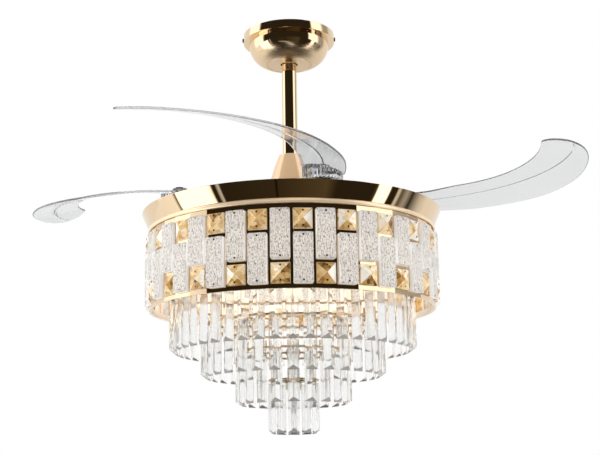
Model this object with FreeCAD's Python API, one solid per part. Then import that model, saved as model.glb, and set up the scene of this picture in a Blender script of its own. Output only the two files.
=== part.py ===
import FreeCAD, Part
import math
import os

# A ceiling fan whose four clear blades fold in over a crystal drum with tiers of hanging prisms.
# Lengths are in millimetres and angles in degrees. The origin is on the ceiling, in line with the rod,
# +Z points up and -Y is the side that faces the room.

V = FreeCAD.Vector
CENTRE = V(0, 0, 0)
ACROSS = V(1, 0, 0)
UP = V(0, 0, 1)

# Clearances that mating pieces share
overrun = 1.0
running_fit = 0.05
slide_fit = 0.02
axial_gap = 0.2
seat_gap = 0.4
blade_seat_gap = 1.2

# Ceiling bracket and canopy
bracket_play = 5.5
bracket_width = 40.0
bracket_plate = 2.5
bracket_leg_room = 13.0
ear_width = 14.0
ear_clear = 1.0
slot_spacing = 89.0
slot_width = 5.5
slot_length = 14.0
ceiling_gap = 1.0
canopy_height = 53.0
canopy_wall = 1.5
canopy_rim_radius = 79.0
canopy_rim_height = 14.0
canopy_bowl_radius = 69.0
canopy_foot_radius = 40.0
canopy_belly_shares = (0.78, 0.62)
canopy_screw_radius = 2.0
canopy_screw_head_radius = 4.0
canopy_screw_head = 2.0
receiver_length = 62.0
receiver_width = 32.0
receiver_gap = 5.5
receiver_rounding = 3.0

# Hanger ball and rod
ball_radius = 20.0
ball_crown = 8.0
ball_foot = 13.0
ball_seat_height = 8.0
ball_rise = 10.0
canopy_room = 8.5
ball_pin_radius = 3.0
ball_pin_rise = 3.0
rod_radius = 13.0
rod_wall = 2.0
rod_length = 256.0
rod_stand = 2.0
rod_play = 2.0

# Yoke, shaft and coupling cover
socket_depth = 35.0
socket_floor = 4.0
yoke_radius = 20.0
yoke_foot = 9.0
yoke_flange = 4.0
clevis_pin_radius = 3.2
clevis_pin_rise = 15.0
clevis_pin_stand = 3.0
set_screw_radius = 2.5
set_screw_rise = 27.0
set_screw_stand = 3.0
shaft_radius = 10.0
shaft_bore = 5.0
cover_wall = 1.5
cover_height = 74.0
cover_top_radius = 20.0
cover_waist_radius = 33.0
cover_waist_share = 0.5
cover_base_radius = 42.0
cover_play = 1.0

# Motor
flange_to_rotor = 16.0
rotor_plate = 5.0
rotor_land = 15.0
bearing_width = 9.0
bearing_inner_wall = 2.5
bearing_radius = 16.0
bearing_boss_wall = 5.0
can_radius = 95.0
can_wall = 3.0
can_height = 30.0
can_flange = 8.0
rotor_screw_count = 6
rotor_screw_radius = 2.0
rotor_screw_head_radius = 3.4
rotor_screw_head = 2.0
magnet_count = 12
magnet_thickness = 8.0
magnet_height = 22.0
magnet_gap = 4.0
air_gap = 0.6
pole_count = 12
core_height = 12.0
core_clear = 1.0
core_hub_radius = 30.0
tooth_width = 10.0
shoe_thickness = 7.0
shoe_gap = 5.0
winding_wall = 3.4
winding_inner_radius = 40.0
lightening_hole_count = 8
lightening_hole_radius = 13.0
lightening_circle_radius = 122.0

# Blade drive
gear_module = 2.0
gear_teeth = 30
ring_teeth = 160
tooth_backlash = 0.6
addendum_share = 0.8
dedendum_share = 1.2
flank_angle = 20.0
ring_height = 9.0
ring_width = 9.0
rim_width = 10.0
keeper_radius = 8.0
keeper_thickness = 1.6
keeper_inset = 4.0
post_radius = 6.0
cap_radius = 11.0
cap_thickness = 1.6
cap_head_radius = 5.0
cap_head = 1.4
first_pivot_angle = 15.0
blade_count = 4

# Blades
blade_level = 20.6
blade_heading = -13.0
blade_bend_radius = 243.0
blade_length = 410.0
blade_root_half = 35.0
blade_half = 50.0
blade_sheet_spare = 18.0
blade_tip_rounding = 8.0
blade_thickness = 3.0
blade_rib_half = 3.0
blade_rib = 1.2
blade_rise_share = 0.044
blade_root_pitch = 12.0
blade_pitch = 17.0
blade_station_shares = (-0.12, 0.0, 0.11, 0.24, 0.4, 0.6, 0.8, 1.08)
blade_twist_shares = (0.11, 0.3)
blade_outer_shares = ((0.19, 0.78), (0.41, 0.93), (0.58, 0.985), (0.68, 0.91), (0.8, 0.76), (0.885, 0.61),
                      (0.95, 0.48), (1.005, 0.33), (1.045, 0.13), (1.066, -0.18), (1.058, -0.52),
                      (1.03, -0.8), (0.985, -1.0))
blade_inner_shares = ((0.2, -0.73), (0.42, -0.69), (0.66, -0.75), (0.86, -0.88), (0.985, -1.0))
boss_across = 26.0
boss_depth = 9.0
boss_stand = 4.1

# Pan, band and bead
pan_clear = 4.7
pan_inset = 0.5
pan_thickness = 3.0
pan_skirt_spare = 1.0
pan_skirt_wall = 2.5
collar_radius = 14.0
collar_gap = 1.0
band_overhang = 14.0
band_height = 27.4
band_taper = 12.8
band_wall = 1.5
band_flange = 10.0
bead_width = 4.5
bead_drop = 3.3
bead_clear = 0.5

# Crystal drum
column_count = 44
drum_radius = 236.5
drum_ring_wall = 4.0
drum_top_band = 11.7
drum_bottom_band = 6.9
piece_overlap = 3.0
panel_height = 76.6
tile_height = 31.4
piece_gap = 5.4
column_gap = 4.4
panel_thickness = 7.5
panel_edge = 2.5
panel_corner = 3.0
tile_thickness = 8.0
tile_edge = 2.5
post_width = 6.5
post_thickness = 3.0
post_setback = 0.6
crossbar_thickness = 3.0
crossbar_gap = 0.05
ring_screw_count = 4
ring_screw_radius = 1.6
ring_screw_head_radius = 2.6
ring_screw_head = 1.0

# Lamps and stem
nut_across = 34.0
nut_height = 19.3
shaft_tail = 12.3
stem_radius = 7.0
stem_bore = 4.0
lamp_count = 6
lamp_circle_radius = 110.0
lamp_first_angle = 30.0
holder_radius = 13.0
holder_height = 36.0
holder_foot_radius = 20.0
holder_foot = 3.0
bulb_length = 68.0
bulb_radius = 17.5
bulb_neck_radius = 8.0
bulb_belly_share = 0.36
bulb_point_radius = 1.2

# Tiers of prisms
tier_shares = (0.8609, 0.644, 0.4034, 0.186)
tier_gaps = (5.3, 7.9, 6.8, 1.3)
tier_drops = (120.3, 161.3, 205.3, 251.3)
prism_length = 80.0
prism_width = 20.0
prism_depth = 10.0
prism_cut = 6.5
hook_length = 4.0
hook_width = 1.6
hook_inset_share = 0.66
tier_ring_width = 9.0
tier_ring_thickness = 3.0
spoke_count = 4
spoke_width = 8.0
hub_radius = 12.0
hub_height = 9.0
finial_radius = 14.0
finial_height = 16.0
finial_tip_radius = 4.0

# Levels, worked out downward from the ceiling
bracket_length = 2 * (canopy_rim_radius - canopy_wall - bracket_play)
canopy_top = -ceiling_gap
canopy_step = canopy_top - canopy_rim_height
canopy_bottom = canopy_top - canopy_height
seat_bottom = canopy_bottom + canopy_wall + canopy_room
seat_top = seat_bottom + ball_seat_height
ball_level = seat_bottom + ball_rise
rod_top = ball_level + ball_crown + rod_stand
rod_bottom = rod_top - rod_length
ball_pin_level = ball_level + ball_pin_rise
yoke_top = rod_bottom + socket_depth
shaft_top = rod_bottom - socket_floor
flange_top = shaft_top - yoke_foot
flange_bottom = flange_top - yoke_flange
cover_top = flange_top + cover_height
rotor_top = flange_bottom - flange_to_rotor
rotor_bottom = rotor_top - rotor_plate
can_bottom = rotor_bottom - can_height
collar_top = can_bottom - collar_gap
pan_top = can_bottom - pan_clear
pan_bottom = pan_top - pan_thickness
shaft_bottom = pan_bottom - shaft_tail
nut_bottom = pan_bottom - nut_height
rim_top = rotor_top + ring_height + axial_gap
ring_top = rotor_top + ring_height
gear_bottom = rotor_top + axial_gap
blade_z = rotor_top + blade_level
boss_bottom = blade_z - boss_depth
boss_top = blade_z + boss_stand
post_top = boss_top + seat_gap
ring_screw_drop = bead_drop + bead_clear + ring_screw_head_radius
pan_skirt = ring_screw_drop + ring_screw_radius + pan_skirt_spare
drum_top = pan_bottom
piece_top = drum_top - drum_top_band
piece_bottom = piece_top - panel_height - piece_gap - tile_height
drum_bottom = piece_bottom - drum_bottom_band
post_high = piece_top - piece_overlap
post_low = piece_bottom + piece_overlap
tier_tops = [pan_bottom - drop for drop in tier_drops]

# Radii that follow from the gears and the drum's columns
gear_radius = gear_module * gear_teeth / 2
ring_radius = gear_module * ring_teeth / 2
pivot_radius = gear_radius + ring_radius
ring_bore = ring_radius - ring_width
addendum = gear_module * addendum_share
dedendum = gear_module * dedendum_share
rotor_radius = pivot_radius + rotor_land
bearing_split = shaft_radius + bearing_inner_wall
stator_radius = can_radius - can_wall - magnet_thickness - air_gap
column_step = 360 / column_count
drum_flat = 2 * drum_radius * math.tan(math.pi / column_count)
drum_corner = drum_radius / math.cos(math.pi / column_count)
piece_width = drum_flat - column_gap
drum_bore = drum_radius - drum_ring_wall
pan_radius = drum_radius - pan_inset
band_radius = pan_radius + band_overhang
tier_radii = [share * drum_radius for share in tier_shares]
tier_counts = [int(2 * math.pi * (radius - prism_depth) / (prism_width + gap))
               for radius, gap in zip(tier_radii, tier_gaps)]


def disc(radius, bottom, top):
    """Round plate or bar that stands on Z."""
    return Part.makeCylinder(radius, top - bottom, V(0, 0, bottom))


def ring(outer, inner, bottom, top):
    """Round plate with a round hole."""
    return disc(outer, bottom, top).cut(disc(inner, bottom - overrun, top + overrun))


def slab(length, width, bottom, top):
    """Rectangular plate centred on Z."""
    return Part.makeBox(length, width, top - bottom, V(-length / 2, -width / 2, bottom))


def block(near, far, width, bottom, top):
    """Rectangular block from one distance to another along X, centred across Y."""
    return Part.makeBox(far - near, width, top - bottom, V(near, -width / 2, bottom))


def bar(radius, near, far, level):
    """Round bar along X at a level."""
    return Part.makeCylinder(radius, far - near, V(near, 0, level), ACROSS)


def polygon(points):
    """Closed wire through points."""
    return Part.makePolygon(points + points[:1])


def upright(points, height):
    """Straight solid on a flat outline, upwards by a height."""
    return Part.Face(polygon(points)).extrude(V(0, 0, height))


def hexagon(across, bottom, top):
    """Hexagonal bar on Z, by its size across flats."""
    corner = across / math.sqrt(3)
    turns = [math.radians(60 * k) for k in range(6)]
    return upright([V(corner * math.cos(t), corner * math.sin(t), bottom) for t in turns], top - bottom)


def section(points):
    """Places of a turned profile, given as pairs of radius and level."""
    return [V(radius, 0, level) for radius, level in points]


def turned(points):
    """Solid turned about Z from a closed profile of straight lines."""
    return Part.Face(polygon(section(points))).revolve(CENTRE, UP, 360)


def turned_edges(edges):
    """Solid turned about Z from a closed profile of lines and arcs."""
    return Part.Face(Part.Wire(edges)).revolve(CENTRE, UP, 360)


def run(*points):
    """Edges of a profile's straight runs."""
    places = section(points)
    return [Part.makeLine(a, b) for a, b in zip(places, places[1:])]


def arc(start, middle, end):
    """Edge of a profile's arc through three places."""
    return [Part.Arc(*section((start, middle, end))).toShape()]


def placed(shape, angle, distance=0):
    """Copy moved outward along X and turned about Z."""
    copy = shape.copy()
    copy.translate(V(distance, 0, 0))
    copy.rotate(CENTRE, UP, angle)
    return copy


def pattern(shape, count, first=0, distance=0):
    """Copies spaced evenly round Z."""
    return [placed(shape, first + 360 * k / count, distance) for k in range(count)]


def group(shapes):
    """Separate solids kept in one node."""
    return Part.makeCompound(shapes)


def without(shape, cutters):
    """Shape with every cutter taken out."""
    return shape.cut(Part.makeCompound(cutters))


def joined(shapes):
    """One solid welded from several."""
    return shapes[0].multiFuse(shapes[1:]).removeSplitter()


# Ceiling bracket, canopy and receiver
def ceiling_bracket():
    leg_inside = ball_radius + bracket_leg_room
    leg_outside = leg_inside + bracket_plate
    plate = slab(bracket_length, bracket_width, -bracket_plate, 0)
    leg = block(leg_inside, leg_outside, bracket_width, seat_bottom, -bracket_plate)
    seat = slab(2 * leg_inside, bracket_width, seat_bottom, seat_top)
    ear_bottom = canopy_step + canopy_wall + ear_clear
    ear = block(bracket_length / 2 - bracket_plate, bracket_length / 2, ear_width, ear_bottom, -bracket_plate)
    body = joined([plate, seat] + pattern(leg, 2) + pattern(ear, 2))
    hollow = Part.makeSphere(ball_radius + running_fit, V(0, 0, ball_level))
    throat_half = rod_radius + rod_play
    throat = Part.makeBox(2 * throat_half, bracket_width, ball_seat_height + 2 * overrun,
                          V(-throat_half, 0, seat_bottom - overrun))
    half = slot_width / 2
    slot = joined([slab(slot_length - slot_width, slot_width, -bracket_plate - overrun, overrun)]
                  + [placed(disc(half, -bracket_plate - overrun, overrun), turn, (slot_length - slot_width) / 2)
                     for turn in (0, 180)])
    return without(body, [hollow, throat] + canopy_screws().Solids + pattern(slot, 2, 0, slot_spacing / 2))


def canopy():
    inner_rim = canopy_rim_radius - canopy_wall
    inner_bowl = canopy_bowl_radius - canopy_wall
    shelf = canopy_step + canopy_wall
    floor = canopy_bottom + canopy_wall
    hole = rod_radius + rod_play

    def belly(radius, level):
        out_share, down_share = canopy_belly_shares
        return (canopy_foot_radius + (radius - canopy_foot_radius) * out_share,
                canopy_step + (level - canopy_step) * down_share)

    outer_belly = belly(canopy_bowl_radius, canopy_bottom)
    inner_belly = belly(inner_bowl, floor)
    edges = run((inner_rim, canopy_top), (canopy_rim_radius, canopy_top), (canopy_rim_radius, canopy_step),
                (canopy_bowl_radius, canopy_step))
    edges += arc((canopy_bowl_radius, canopy_step), outer_belly, (canopy_foot_radius, canopy_bottom))
    edges += run((canopy_foot_radius, canopy_bottom), (hole, canopy_bottom), (hole, floor),
                 (canopy_foot_radius, floor))
    edges += arc((canopy_foot_radius, floor), inner_belly, (inner_bowl, canopy_step))
    edges += run((inner_bowl, canopy_step), (inner_bowl, shelf), (inner_rim, shelf), (inner_rim, canopy_top))
    return without(turned_edges(edges), canopy_screws().Solids)


def canopy_screws():
    level = canopy_top - canopy_rim_height / 2
    shank = bar(canopy_screw_radius, bracket_length / 2 - bracket_plate, canopy_rim_radius, level)
    head = bar(canopy_screw_head_radius, canopy_rim_radius, canopy_rim_radius + canopy_screw_head, level)
    return group(pattern(shank.fuse(head), 2))


def receiver_box():
    box = slab(receiver_length, receiver_width, rod_top + receiver_gap, -bracket_plate)
    return box.makeFillet(receiver_rounding, [e for e in box.Edges if abs(e.tangentAt(0).z) > 0])


# Hanger ball, rod, yoke and coupling cover
def hanger_ball():
    ball = Part.makeSphere(ball_radius, V(0, 0, ball_level))
    ball = ball.common(disc(ball_radius, ball_level - ball_foot, ball_level + ball_crown))
    bore = disc(rod_radius + slide_fit, ball_level - ball_radius, ball_level + ball_radius)
    return without(ball, [bore, pin_hole(ball_pin_radius, ball_radius, ball_pin_level)])


def pin_hole(radius, reach, level):
    return bar(radius + slide_fit, -reach - overrun, reach + overrun, level)


def ball_pin():
    reach = math.sqrt(ball_radius ** 2 - ball_pin_rise ** 2) - ball_pin_radius
    return bar(ball_pin_radius, -reach, reach, ball_pin_level)


def downrod():
    tube = ring(rod_radius, rod_radius - rod_wall, rod_bottom, rod_top)
    return without(tube, [pin_hole(ball_pin_radius, rod_radius, ball_pin_level),
                          pin_hole(clevis_pin_radius, rod_radius, rod_bottom + clevis_pin_rise)])


def yoke():
    socket = rod_radius + slide_fit
    body = turned([(socket, yoke_top), (yoke_radius, yoke_top), (yoke_radius, flange_top),
                   (cover_base_radius, flange_top), (cover_base_radius, flange_bottom),
                   (shaft_radius, flange_bottom), (shaft_radius, shaft_top), (shaft_bore, shaft_top),
                   (shaft_bore, rod_bottom), (socket, rod_bottom)])
    return without(body, [pin_hole(clevis_pin_radius, yoke_radius, rod_bottom + clevis_pin_rise)]
                   + yoke_set_screws().Solids)


def clevis_pin():
    reach = yoke_radius + clevis_pin_stand
    return bar(clevis_pin_radius, -reach, reach, rod_bottom + clevis_pin_rise)


def yoke_set_screws():
    screw = bar(set_screw_radius, rod_radius + slide_fit, yoke_radius + set_screw_stand,
                rod_bottom + set_screw_rise)
    return group(pattern(screw, 2, 90))


def coupling_cover():
    hole = rod_radius + cover_play
    waist = flange_top + cover_height * cover_waist_share
    inner_top = cover_top - cover_wall
    edges = run((hole, inner_top), (hole, cover_top), (cover_top_radius, cover_top))
    edges += arc((cover_top_radius, cover_top), (cover_waist_radius, waist), (cover_base_radius, flange_top))
    edges += run((cover_base_radius, flange_top), (cover_base_radius - cover_wall, flange_top))
    edges += arc((cover_base_radius - cover_wall, flange_top), (cover_waist_radius - cover_wall, waist),
                 (cover_top_radius - cover_wall, inner_top))
    edges += run((cover_top_radius - cover_wall, inner_top), (hole, inner_top))
    return turned_edges(edges)


# Motor
def motor_shaft():
    shaft = ring(shaft_radius, shaft_bore, shaft_bottom, shaft_top)
    return joined([shaft, ring(collar_radius, shaft_bore, pan_top, collar_top)])


def bearing_spans():
    return [(rotor_top - bearing_width, rotor_top), (can_bottom, can_bottom + bearing_width)]


def bearing_inner_rings():
    return group([ring(bearing_split, shaft_radius, low, high) for low, high in bearing_spans()])


def bearing_outer_rings():
    inside = bearing_split + running_fit
    return group([ring(bearing_radius, inside, low, high) for low, high in bearing_spans()])


def core_span():
    """Levels of the core's faces; the can's bearing boss turns just below them."""
    low = can_bottom + bearing_width + core_clear
    return low, low + core_height


def stator_core():
    low, high = core_span()
    hub = ring(core_hub_radius, shaft_radius, low, high)
    shoe_foot = stator_radius - shoe_thickness
    tooth = block(core_hub_radius - overrun, shoe_foot + overrun, tooth_width, low, high)
    shoes = ring(stator_radius, shoe_foot, low, high)
    gap = placed(block(shoe_foot - overrun, stator_radius + overrun, shoe_gap, low - overrun, high + overrun),
                 180 / pole_count)
    return joined([hub, without(shoes, pattern(gap, pole_count))] + pattern(tooth, pole_count))


def stator_windings():
    low, high = core_span()
    outside = stator_radius - shoe_thickness - winding_wall
    coil = block(winding_inner_radius, outside, tooth_width + 2 * winding_wall, low - winding_wall,
                 high + winding_wall)
    window = block(winding_inner_radius - overrun, outside + overrun, tooth_width + 2 * slide_fit,
                   low - slide_fit, high + slide_fit)
    return group(pattern(coil.cut(window), pole_count))


def motor_can():
    inside = can_radius - can_wall
    boss = bearing_radius + bearing_boss_wall
    floor = can_bottom + can_wall
    lip = rotor_bottom - can_wall
    body = turned([(bearing_radius, can_bottom), (can_radius, can_bottom), (can_radius, lip),
                   (can_radius + can_flange, lip), (can_radius + can_flange, rotor_bottom),
                   (inside, rotor_bottom), (inside, floor), (boss, floor), (boss, can_bottom + bearing_width),
                   (bearing_radius, can_bottom + bearing_width)])
    return without(body, rotor_screws().Solids)


def rotor_magnets():
    outside = can_radius - can_wall
    middle = (rotor_bottom + can_bottom + can_wall) / 2
    low = middle - magnet_height / 2
    high = middle + magnet_height / 2
    inside = outside - magnet_thickness
    hoop = ring(outside, inside, low, high)
    gap = block(inside - overrun, outside + overrun, magnet_gap, low - overrun, high + overrun)
    return group(without(hoop, pattern(gap, magnet_count)).Solids)


def rotor_screws():
    circle = can_radius + can_flange / 2
    lip = rotor_bottom - can_wall
    screw = disc(rotor_screw_radius, lip, rotor_top)
    head = disc(rotor_screw_head_radius, lip - rotor_screw_head, lip)
    return group(pattern(screw.fuse(head), rotor_screw_count, 0, circle))


def rotor_plate_piece():
    plate = disc(rotor_radius, rotor_bottom, rotor_top)
    boss = disc(bearing_radius + bearing_boss_wall, rotor_top - bearing_width, rotor_bottom)
    rim = ring(ring_bore - running_fit, ring_bore - running_fit - rim_width, rotor_top, rim_top)
    bore = disc(bearing_radius, rotor_top - bearing_width - overrun, rotor_top + overrun)
    hole = disc(lightening_hole_radius, rotor_bottom - overrun, rotor_top + overrun)
    holes = pattern(hole, lightening_hole_count, first_pivot_angle, lightening_circle_radius)
    return without(joined([plate, boss, rim]), [bore] + holes + pivot_posts().Solids + rotor_screws().Solids)


# Blade drive: pivot posts, synchronising ring and hub gears
def toothed(teeth, radius, phase, bottom, top):
    """Toothed wheel with straight flanks; the teeth are thinner than half the pitch by the backlash."""
    pitch_half = (math.pi * gear_module / 2 - tooth_backlash) / 2
    lean = math.tan(math.radians(flank_angle))
    root = radius - dedendum
    tip = radius + addendum
    root_half = (pitch_half + dedendum * lean) / root
    tip_half = (pitch_half - addendum * lean) / tip
    points = []
    for k in range(teeth):
        middle = 2 * math.pi * (k + phase) / teeth
        for reach, side in ((root, -root_half), (tip, -tip_half), (tip, tip_half), (root, root_half)):
            points.append(V(reach * math.cos(middle + side), reach * math.sin(middle + side), bottom))
    return upright(points, top - bottom)


def pivot_posts():
    post = disc(post_radius, rotor_bottom, post_top)
    return group(pattern(post, blade_count, first_pivot_angle, pivot_radius))


def post_caps():
    washer_top = post_top + cap_thickness
    cap = disc(cap_radius, post_top, washer_top).fuse(disc(cap_head_radius, washer_top, washer_top + cap_head))
    return group(pattern(cap, blade_count, first_pivot_angle, pivot_radius))


def sync_ring():
    wheel = toothed(ring_teeth, ring_radius, 1 / 2, rotor_top + axial_gap, ring_top)
    return placed(wheel.cut(disc(ring_bore, rotor_top, ring_top + overrun)), first_pivot_angle)


def ring_keepers():
    keeper = disc(keeper_radius, rim_top, rim_top + keeper_thickness)
    between = first_pivot_angle + 180 / blade_count
    return group(pattern(keeper, blade_count, between, ring_bore - keeper_inset))


def blade_gear():
    wheel = toothed(gear_teeth, gear_radius, 0, gear_bottom, blade_z + gear_radius)
    socket = hexagon(boss_across + 2 * slide_fit, boss_bottom, blade_z + gear_radius + overrun)
    bore = disc(post_radius + running_fit, gear_bottom - overrun, boss_bottom)
    reach = 2 * gear_radius
    above = slab(2 * reach, 2 * reach, -blade_thickness / 2 - blade_seat_gap, reach)
    above.rotate(CENTRE, ACROSS, -blade_root_pitch)
    above.translate(V(0, 0, blade_z))
    above.rotate(CENTRE, UP, blade_heading)
    body = without(wheel, [socket, bore, above])
    body.translate(V(pivot_radius, 0, 0))
    return body


# Blades
def blade_centre(along):
    """Place and heading of the bent centre line at a length from the pivot."""
    start = math.radians(blade_heading)
    heading = start - along / blade_bend_radius
    x = pivot_radius + blade_bend_radius * (math.sin(start) - math.sin(heading))
    y = -blade_bend_radius * (math.cos(start) - math.cos(heading))
    return x, y, heading


def blade_point(along, side, level):
    """Place beside the centre line; side is positive towards the outer, lower edge."""
    x, y, heading = blade_centre(along)
    return V(x - side * math.sin(heading), y + side * math.cos(heading), level)


def blade_slope(along):
    """Tangent of the pitch, from the root's to the blade's own."""
    first, last = (share * blade_length for share in blade_twist_shares)
    share = min(max((along - first) / (last - first), 0), 1)
    ease = share * share * (3 - 2 * share)
    return math.tan(math.radians(blade_root_pitch + (blade_pitch - blade_root_pitch) * ease))


def blade_section(along):
    """Outline of the sheet across its length, with a rib along the middle of its upper side."""
    reach = blade_half + blade_sheet_spare
    middle = blade_z + blade_rise_share * max(along, 0)
    half = blade_thickness / 2
    slope = blade_slope(along)
    corners = ((-reach, -half), (reach, -half), (reach, half), (blade_rib_half, half), (0, half + blade_rib),
               (-blade_rib_half, half), (-reach, half))
    return polygon([blade_point(along, side, middle - side * slope + lift) for side, lift in corners])


def blade_edge(sign, shares):
    """One edge of the plan outline, from the root outward, through shares of the length and the half width."""
    places = [blade_point(0, sign * blade_root_half, 0)]
    places += [blade_point(along * blade_length, side * blade_half, 0) for along, side in shares]
    curve = Part.BSplineCurve()
    curve.interpolate(places)
    return curve.toShape()


def blade_outline():
    """Upright solid on the plan outline: a round root, a hollow inner edge and an outer edge round to the tip."""
    outer = blade_edge(1, blade_outer_shares)
    inner = blade_edge(-1, blade_inner_shares)
    root_x, root_y, heading = blade_centre(0)
    root = V(root_x - blade_root_half * math.cos(heading), root_y - blade_root_half * math.sin(heading), 0)
    start = Part.Arc(inner.Vertexes[0].Point, root, outer.Vertexes[0].Point).toShape()
    depth = blade_length
    body = Part.Face(Part.Wire(Part.__sortEdges__([outer, inner, start]))).extrude(V(0, 0, depth))
    body.translate(V(0, 0, blade_z - depth / 2))
    pivot = V(pivot_radius, 0, 0)
    corners = [e for e in body.Edges if abs(e.tangentAt(e.FirstParameter).z) > 1 / 2]
    corners.sort(key=lambda e: pivot.distanceToPoint(V(e.CenterOfMass.x, e.CenterOfMass.y, 0)))
    return body.makeFillet(blade_tip_rounding, corners[-1:])


def blade():
    sections = [blade_section(share * blade_length) for share in blade_station_shares]
    sheet = Part.makeLoft(sections, True, False).common(blade_outline())
    boss = hexagon(boss_across, boss_bottom, boss_top)
    boss.translate(V(pivot_radius, 0, 0))
    bore = disc(post_radius + running_fit, boss_bottom - overrun, boss_top + overrun)
    bore.translate(V(pivot_radius, 0, 0))
    return sheet.fuse(boss).cut(bore)


# Pan, band and bead
def motor_pan():
    plate = ring(pan_radius, shaft_radius, pan_bottom, pan_top)
    skirt = ring(drum_bore, drum_bore - pan_skirt_wall, pan_bottom - pan_skirt, pan_bottom)
    return without(joined([plate, skirt]), ring_screws().Solids)


def gold_band():
    top = pan_top + band_height
    foot = band_radius - band_taper
    return turned([(band_radius, top), (foot, pan_top), (foot - band_flange, pan_top),
                   (foot - band_flange, pan_top + band_wall), (foot - band_wall, pan_top + band_wall),
                   (band_radius - band_wall, top)])


def bead_ring():
    """Rounded trim on the pan's edge that hangs a little over the drum's upper ring."""
    back = drum_corner + bead_clear
    face = pan_radius + bead_width
    foot = pan_bottom - bead_drop
    round_start = (back + face) / 2
    edges = run((round_start, foot), (back, foot), (back, pan_bottom), (pan_radius, pan_bottom),
                (pan_radius, pan_top), (round_start, pan_top))
    edges += arc((round_start, pan_top), (face, (pan_top + foot) / 2), (round_start, foot))
    return turned_edges(edges)


# Crystal drum
def column_angle(k):
    """Turn of a column; an upright bar faces the room."""
    return -90 + column_step * (k + 1 / 2)


def facet_ring(bottom, top):
    """Ring with one flat for each column."""
    turns = [math.radians(column_angle(k) + column_step / 2) for k in range(column_count)]
    corners = [V(drum_corner * math.cos(t), drum_corner * math.sin(t), bottom) for t in turns]
    body = upright(corners, top - bottom)
    return body.cut(disc(drum_bore, bottom - overrun, top + overrun))


def drum_top_ring():
    return without(facet_ring(post_high, drum_top), ring_screws().Solids)


def drum_bottom_ring():
    return facet_ring(drum_bottom, post_low)


def drum_posts():
    corner = drum_corner - post_setback
    post = block(corner - post_thickness, corner, post_width, post_low, post_high)
    return group([placed(post, column_angle(k) + column_step / 2) for k in range(column_count)])


def cross_levels():
    """Levels of the two kinds of cross bar: under a panel at the top, and under a tile at the top."""
    return piece_top - panel_height - piece_gap / 2, piece_top - tile_height - piece_gap / 2


def drum_crossbars():
    half_step = math.pi / column_count
    back = drum_radius - crossbar_thickness
    half = back * math.tan(half_step) - post_width / 2 / math.cos(half_step) - crossbar_gap
    reach = piece_gap / 2 + piece_overlap
    bars = []
    for k in range(column_count):
        level = cross_levels()[(k + 1) % 2]
        bars.append(placed(block(back, drum_radius, 2 * half, level - reach, level + reach), column_angle(k)))
    return group(bars)


def piece_wire(distance, half_width, low, high, corner):
    """Outline of a glass piece at a distance from Z, with its corners cut."""
    a = half_width - corner
    places = [(-a, low), (a, low), (half_width, low + corner), (half_width, high - corner),
              (a, high), (-a, high), (-half_width, high - corner), (-half_width, low + corner)]
    return polygon([V(distance, side, level) for side, level in places])


def glass_panel(low, high):
    half = piece_width / 2
    shoulder = drum_radius + panel_thickness - panel_edge
    front = drum_radius + panel_thickness
    wires = [piece_wire(drum_radius, half, low, high, panel_corner),
             piece_wire(shoulder, half, low, high, panel_corner),
             piece_wire(front, half - panel_edge, low + panel_edge, high - panel_edge, panel_corner)]
    return Part.makeLoft(wires, True, True)


def amber_tile(low, high):
    half = piece_width / 2
    edge = drum_radius + tile_edge

    def square(distance):
        places = ((-half, low), (half, low), (half, high), (-half, high))
        return polygon([V(distance, side, level) for side, level in places])

    point = Part.Vertex(V(drum_radius + tile_thickness, 0, (low + high) / 2))
    return Part.makeLoft([square(drum_radius), square(edge), point], True, True)


def glass_panels():
    upper = glass_panel(piece_top - panel_height, piece_top)
    lower = glass_panel(piece_bottom, piece_bottom + panel_height)
    return group([placed(lower if k % 2 == 0 else upper, column_angle(k)) for k in range(column_count)])


def amber_tiles():
    upper = amber_tile(piece_top - tile_height, piece_top)
    lower = amber_tile(piece_bottom, piece_bottom + tile_height)
    return group([placed(upper if k % 2 == 0 else lower, column_angle(k)) for k in range(column_count)])


def ring_screws():
    level = drum_top - ring_screw_drop
    shank = bar(ring_screw_radius, drum_bore - pan_skirt_wall, drum_radius, level)
    head = bar(ring_screw_head_radius, drum_radius, drum_radius + ring_screw_head, level)
    return group(pattern(shank.fuse(head), ring_screw_count, column_angle(-1)))


# Lamps and stem
def coupling_nut():
    body = hexagon(nut_across, nut_bottom, pan_bottom)
    return without(body, [disc(shaft_radius, shaft_bottom, pan_bottom + overrun),
                          disc(stem_radius, nut_bottom - overrun, shaft_bottom)])


def stem():
    return ring(stem_radius, stem_bore, stem_end(), shaft_bottom)


def lamp_holders():
    foot = disc(holder_foot_radius, pan_bottom - holder_foot, pan_bottom)
    holder = foot.fuse(disc(holder_radius, pan_bottom - holder_height, pan_bottom - holder_foot))
    return group(pattern(holder, lamp_count, lamp_first_angle, lamp_circle_radius))


def bulbs():
    top = pan_bottom - holder_height
    low = top - bulb_length
    belly = (bulb_radius, top - bulb_length * bulb_belly_share)
    edges = run((0, low), (0, top), (bulb_neck_radius, top))
    edges += arc((bulb_neck_radius, top), belly, (bulb_point_radius, low))
    edges += run((bulb_point_radius, low), (0, low))
    return group(pattern(turned_edges(edges), lamp_count, lamp_first_angle, lamp_circle_radius))


# Tiers of prisms
def tier_ring_bottom(tier):
    return tier_tops[tier] + hook_length


def hook_circle(tier):
    return tier_radii[tier] - prism_depth * hook_inset_share


def stem_end():
    return tier_ring_bottom(len(tier_radii) - 1) - (hub_height - tier_ring_thickness) / 2


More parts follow.
